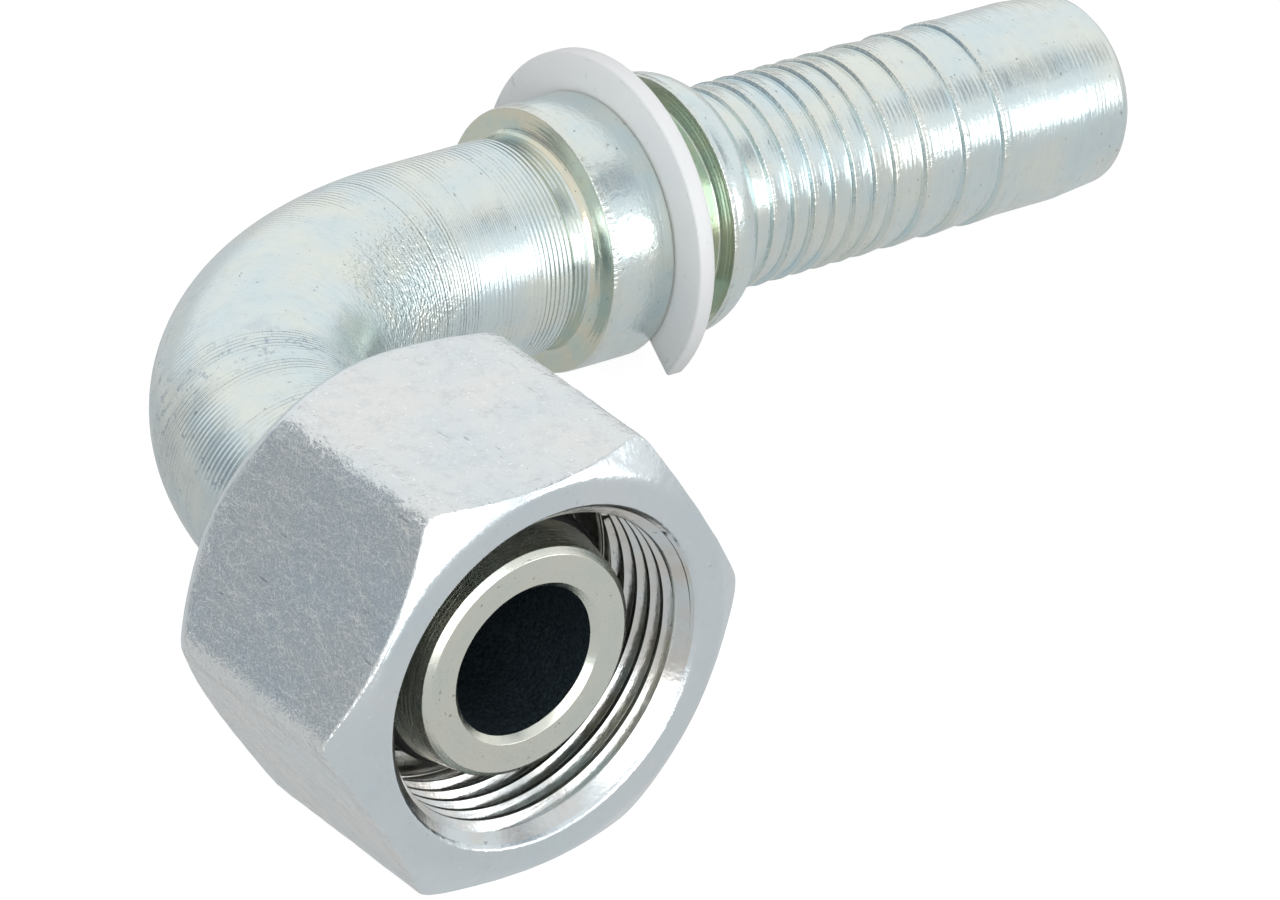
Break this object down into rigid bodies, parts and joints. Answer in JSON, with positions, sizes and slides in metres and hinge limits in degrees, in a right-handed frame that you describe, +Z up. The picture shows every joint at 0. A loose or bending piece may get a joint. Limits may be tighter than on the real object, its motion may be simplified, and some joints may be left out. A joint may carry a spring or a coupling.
{
  "type": "hydraulic hose fitting",
  "caption": "Ninety-degree hydraulic hose insert with ribbed tail, crimp collars, split ring and a free-turning hex swivel nut over a cone nose with seal ring.",
  "frame": {"origin": "centre of the nose's end face, on the axis of the nose and the swivel nut", "axes": "-Y out of the nose along the nut's axis; the hose tail runs towards +X and droops 5.6 degrees below it, as the fitting lies; +Z up"},
  "size_m": [0.1084, 0.0642, 0.032],
  "materials": {
    "plated_insert": "zinc plated, fine turned lines, faint green and yellow tints",
    "plated_nut": "zinc plated, speckled rolled flats, polished bevels",
    "seal_rubber": "black, slightly shiny",
    "ring_plastic": "milky white, slightly see-through, fine scratches"
  },
  "bodies": {
    "insert": {"hose_insert": "plated_insert", "nose_o_ring": "seal_rubber", "split_ring": "ring_plastic"},
    "nut": {"swivel_nut": "plated_nut"}
  },
  "joints": [
    {"name": "nut_spin", "type": "hinge", "parent": "insert", "child": "nut", "pos_m": [0, 0, 0], "axis": [0, -1, 0], "continuous": true}
  ]
}
